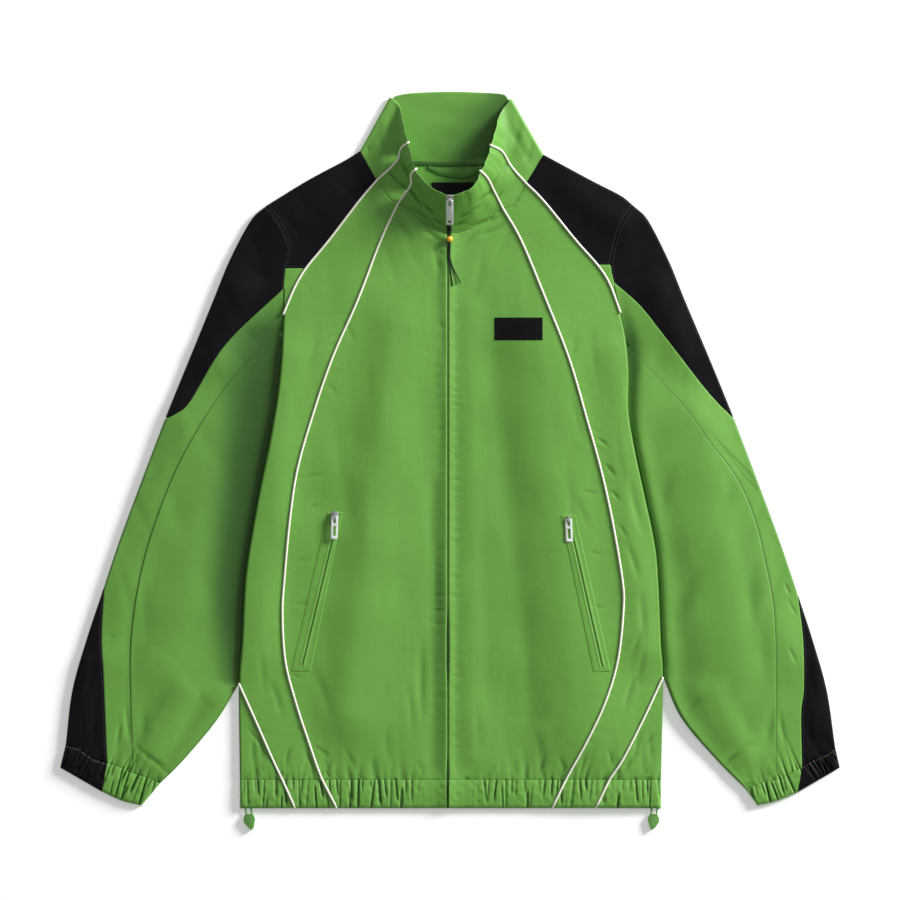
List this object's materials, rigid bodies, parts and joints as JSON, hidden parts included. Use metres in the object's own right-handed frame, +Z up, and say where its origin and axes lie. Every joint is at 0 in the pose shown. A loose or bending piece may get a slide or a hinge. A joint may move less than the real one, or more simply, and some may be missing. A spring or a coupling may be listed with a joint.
{
  "type": "track jacket",
  "caption": "Full-zip nylon track jacket with a stand collar, contrast shoulders, piping, slanted zipped pockets and gathered hem and cuffs, laid flat with its front up.",
  "frame": {"origin": "on the surface that the jacket lies on, under the middle of its outline without its free cords", "axes": "+X to the right of someone looking down at the jacket's front, +Y from the hem towards the collar, +Z up, out of the front"},
  "size_m": [0.8416, 0.7973, 0.0452],
  "materials": {
    "green_nylon": "leaf green plain-weave nylon, soft sheen",
    "black_nylon": "black plain-weave nylon, soft sheen",
    "label_weave": "black woven label, matte, bare",
    "green_tape": "folded green tape, edge stitched",
    "cream_piping": "cream bias-covered cord",
    "zip_tape": "green zip tape with moulded green teeth",
    "zip_metal": "silver, tumbled",
    "black_cord": "thin braided black cord",
    "yellow_bead": "amber yellow, glossy",
    "green_cord": "green elastic drawcord",
    "green_rubber": "green moulded cord end, satin"
  },
  "bodies": {
    "jacket": {"back": "green_nylon", "raglan_back_left": "black_nylon", "raglan_back_right": "black_nylon", "sleeve_back_left": "green_nylon", "sleeve_back_right": "green_nylon", "front_centre_left": "green_nylon", "front_centre_right": "green_nylon", "front_side_left": "green_nylon", "front_side_right": "green_nylon", "shoulder_left": "black_nylon", "shoulder_right": "black_nylon", "underarm_left": "green_nylon", "underarm_right": "green_nylon", "hip_left": "green_nylon", "hip_right": "green_nylon", "hem_casing_left": "green_nylon", "hem_casing_right": "green_nylon", "sleeve_top_left": "black_nylon", "sleeve_top_right": "black_nylon", "sleeve_outer_left": "green_nylon", "sleeve_outer_right": "green_nylon", "sleeve_under_left": "green_nylon", "sleeve_under_right": "green_nylon", "cuff_insert_left": "black_nylon", "cuff_insert_right": "black_nylon", "cuff_black_left": "black_nylon", "cuff_black_right": "black_nylon", "cuff_green_left": "green_nylon", "cuff_green_right": "green_nylon", "collar_back": "green_nylon", "collar_front_left": "green_nylon", "collar_front_right": "green_nylon", "collar_mid_left": "green_nylon", "collar_mid_right": "green_nylon", "piping_inner_left": "cream_piping", "piping_inner_right": "cream_piping", "piping_outer_left": "cream_piping", "piping_outer_right": "cream_piping", "piping_lower_left": "cream_piping", "piping_lower_right": "cream_piping", "main_zip": "zip_tape", "main_slider": "zip_metal", "pocket_welt_left": "green_nylon", "pocket_welt_right": "green_nylon", "pocket_slider_left": "zip_metal", "pocket_slider_right": "zip_metal", "hem_cord_left": "green_cord", "hem_cord_right": "green_cord", "hem_tab_left": "green_rubber", "hem_tab_right": "green_rubber", "chest_patch": "black_nylon", "neck_label": "label_weave", "hanger_loop": "green_tape"},
    "main_pull": {"main_pull": "zip_metal", "pull_knot": "black_cord", "pull_bead": "yellow_bead", "pull_cord_a": "black_cord", "pull_cord_b": "black_cord"},
    "pocket_pull_left": {"pocket_pull_left": "zip_metal"},
    "pocket_pull_right": {"pocket_pull_right": "zip_metal"}
  },
  "joints": [
    {"name": "main_pull_hinge", "type": "hinge", "parent": "jacket", "child": "main_pull", "pos_m": [-0.0004, 0.26812, 0.04207], "axis": [-1, 0, 0], "range_deg": [0, 150]},
    {"name": "pocket_pull_left_hinge", "type": "hinge", "parent": "jacket", "child": "pocket_pull_left", "pos_m": [-0.1244, -0.0715, 0.01063], "axis": [-0.9997, 0.0262, 0], "range_deg": [0, 150]},
    {"name": "pocket_pull_right_hinge", "type": "hinge", "parent": "jacket", "child": "pocket_pull_right", "pos_m": [0.1276, -0.0745, 0.01296], "axis": [-0.999, -0.0436, 0], "range_deg": [0, 150]}
  ]
}
